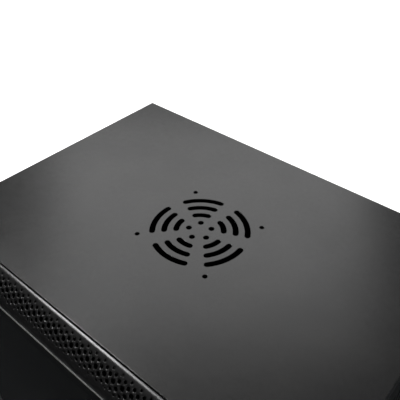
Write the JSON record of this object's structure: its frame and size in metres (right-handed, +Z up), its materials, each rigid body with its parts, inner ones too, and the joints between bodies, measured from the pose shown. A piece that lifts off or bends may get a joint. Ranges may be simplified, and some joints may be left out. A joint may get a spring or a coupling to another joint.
{
  "type": "wall-mount rack cabinet",
  "caption": "Wall-mount 19-inch rack cabinet with vented top, curved-border glass door, lift-off side panels, adjustable rails and cable entries.",
  "frame": {"origin": "middle of the cabinet's underside, the plane it rests on", "axes": "+Z up, -Y towards the glass door, +X to the right as seen from the front, where the door's lock is"},
  "size_m": [0.536, 0.4, 0.501],
  "materials": {
    "top_paint": "satin black powder coat",
    "body_paint": "satin black powder coat",
    "door_paint": "satin black powder coat, perforated on the curved borders",
    "rail_paint": "satin black powder coat",
    "smoked_glass": "polished dark smoked safety glass",
    "bonding_tape": "matt black foam tape",
    "zinc_steel": "bright zinc plating",
    "lock_chrome": "polished chrome plating",
    "bumper_rubber": "soft black rubber"
  },
  "bodies": {
    "cabinet": {"top_panel": "top_paint", "bottom_panel": "body_paint", "back_panel": "body_paint", "front_frame": "body_paint", "side_brace_lower_left": "body_paint", "side_brace_lower_right": "body_paint", "side_brace_upper_left": "body_paint", "side_brace_upper_right": "body_paint", "door_bumper_lower": "bumper_rubber", "door_bumper_upper": "bumper_rubber", "cover_guide_left": "body_paint", "cover_guide_right": "body_paint", "earth_stud": "zinc_steel", "earth_nut": "zinc_steel"},
    "rail_front_left": {"rack_rail_front_left": "rail_paint", "rail_bolt_front_left_lower": "zinc_steel", "rail_bolt_front_left_upper": "zinc_steel"},
    "rail_front_right": {"rack_rail_front_right": "rail_paint", "rail_bolt_front_right_lower": "zinc_steel", "rail_bolt_front_right_upper": "zinc_steel"},
    "rail_rear_left": {"rack_rail_rear_left": "rail_paint", "rail_bolt_rear_left_lower": "zinc_steel", "rail_bolt_rear_left_upper": "zinc_steel"},
    "rail_rear_right": {"rack_rail_rear_right": "rail_paint", "rail_bolt_rear_right_lower": "zinc_steel", "rail_bolt_rear_right_upper": "zinc_steel"},
    "door": {"door_frame": "door_paint", "glass_pane": "smoked_glass", "glass_tape": "bonding_tape", "hinge_block_upper": "zinc_steel", "hinge_block_lower": "zinc_steel", "door_lock_housing": "lock_chrome"},
    "door_lock": {"door_lock_plug": "lock_chrome", "door_lock_cam": "zinc_steel", "door_lock_cam_screw": "zinc_steel"},
    "hinge_pin_upper": {"hinge_pin_upper": "zinc_steel"},
    "hinge_pin_lower": {"hinge_pin_lower": "zinc_steel"},
    "side_left": {"side_panel_left": "body_paint", "side_lock_left_housing": "lock_chrome"},
    "side_lock_left": {"side_lock_left_plug": "lock_chrome", "side_lock_left_cam": "zinc_steel", "side_lock_left_cam_screw": "zinc_steel"},
    "side_right": {"side_panel_right": "body_paint", "side_lock_right_housing": "lock_chrome"},
    "side_lock_right": {"side_lock_right_plug": "lock_chrome", "side_lock_right_cam": "zinc_steel", "side_lock_right_cam_screw": "zinc_steel"},
    "cable_cover": {"cable_cover": "body_paint"}
  },
  "joints": [
    {"name": "door_hinge", "type": "hinge", "parent": "cabinet", "child": "door", "pos_m": [-0.2602, -0.1872, 0.2505], "axis": [0, 0, -1], "range_deg": [0, 120]},
    {"name": "door_lock_turn", "type": "hinge", "parent": "door", "child": "door_lock", "pos_m": [0.25, -0.19, 0.2505], "axis": [0, 1, 0], "range_deg": [0, 90]},
    {"name": "hinge_pin_upper_release", "type": "slide", "parent": "door", "child": "hinge_pin_upper", "axis": [0, 0, -1], "range_m": [0, 0.007], "stiffness_N_per_m": 300, "springref_m": -0.012},
    {"name": "hinge_pin_lower_release", "type": "slide", "parent": "door", "child": "hinge_pin_lower", "axis": [0, 0, 1], "range_m": [0, 0.007], "stiffness_N_per_m": 300, "springref_m": -0.012},
    {"name": "side_panel_left_lift_off", "type": "slide", "parent": "cabinet", "child": "side_left", "axis": [-1, 0, 0], "range_m": [0, 0.06]},
    {"name": "side_lock_left_turn", "type": "hinge", "parent": "side_left", "child": "side_lock_left", "pos_m": [-0.26, 0.013, 0.468], "axis": [1, 0, 0], "range_deg": [0, 90]},
    {"name": "side_panel_right_lift_off", "type": "slide", "parent": "cabinet", "child": "side_right", "axis": [1, 0, 0], "range_m": [0, 0.06]},
    {"name": "side_lock_right_turn", "type": "hinge", "parent": "side_right", "child": "side_lock_right", "pos_m": [0.26, 0.013, 0.468], "axis": [1, 0, 0], "range_deg": [0, 90]},
    {"name": "rail_front_left_adjust", "type": "slide", "parent": "cabinet", "child": "rail_front_left", "axis": [0, 1, 0], "range_m": [-0.027, 0.04]},
    {"name": "rail_front_right_adjust", "type": "slide", "parent": "cabinet", "child": "rail_front_right", "axis": [0, 1, 0], "range_m": [-0.027, 0.04]},
    {"name": "rail_rear_left_adjust", "type": "slide", "parent": "cabinet", "child": "rail_rear_left", "axis": [0, 1, 0], "range_m": [-0.04, 0.04]},
    {"name": "rail_rear_right_adjust", "type": "slide", "parent": "cabinet", "child": "rail_rear_right", "axis": [0, 1, 0], "range_m": [-0.04, 0.04]},
    {"name": "cable_cover_slide", "type": "slide", "parent": "cabinet", "child": "cable_cover", "axis": [0, 1, 0], "range_m": [0, 0.064]}
  ]
}
